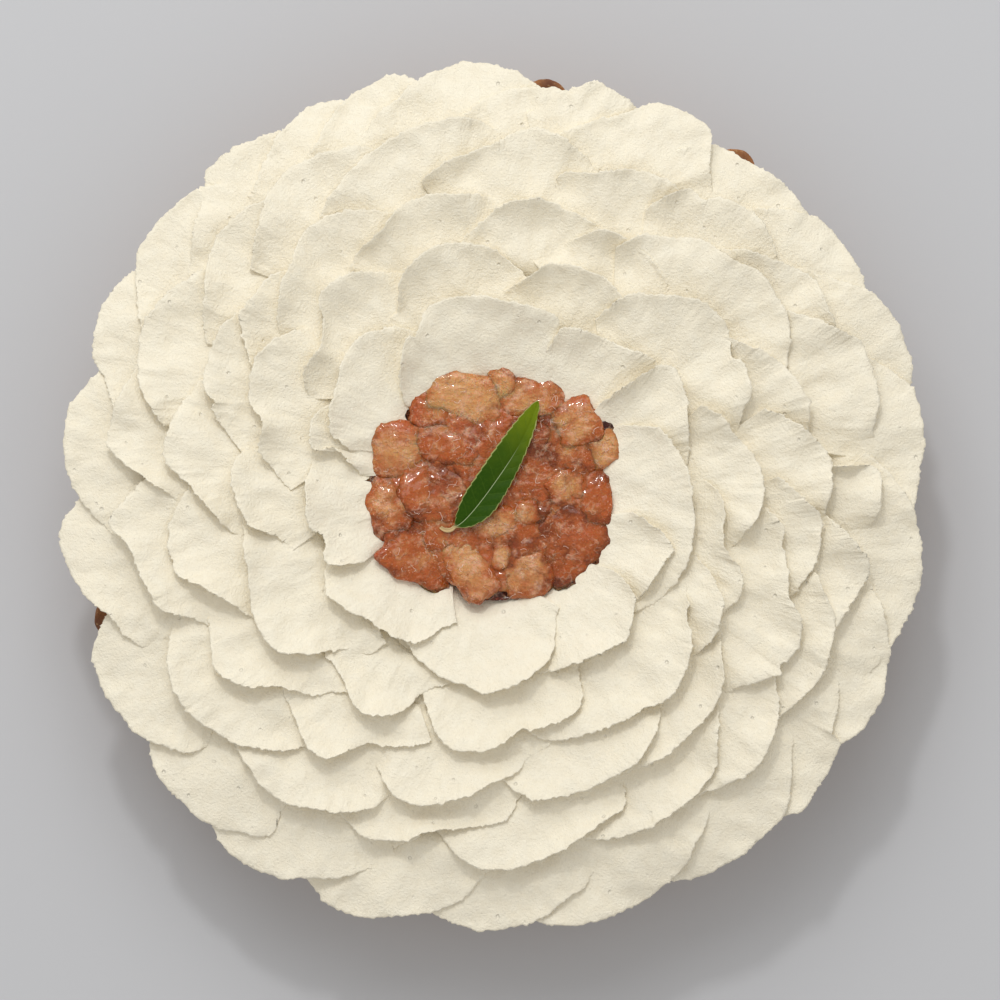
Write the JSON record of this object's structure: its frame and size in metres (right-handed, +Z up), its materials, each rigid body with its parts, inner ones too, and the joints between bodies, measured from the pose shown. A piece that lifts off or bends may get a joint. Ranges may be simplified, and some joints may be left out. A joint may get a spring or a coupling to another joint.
{
  "type": "peach tart",
  "caption": "Round fluted tart covered by overlapping piped cream petals, with a well of diced peach compote and a green leaf in its middle.",
  "frame": {"origin": "centre of the flat base that the crust rests on", "axes": "+Z up out of the base, +Y towards the top of the picture, +X to its right"},
  "size_m": [0.23, 0.2305, 0.0531],
  "materials": {
    "crust": "baked pastry, matt and slightly rough",
    "cream": "soft satin whipped cream",
    "peach": "wet and glossy",
    "leaf": "satin leaf"
  },
  "bodies": {
    "root": {"crust": "crust", "whipped_cream": "cream", "peach_compote": "peach", "leaf": "leaf"}
  },
  "joints": []
}
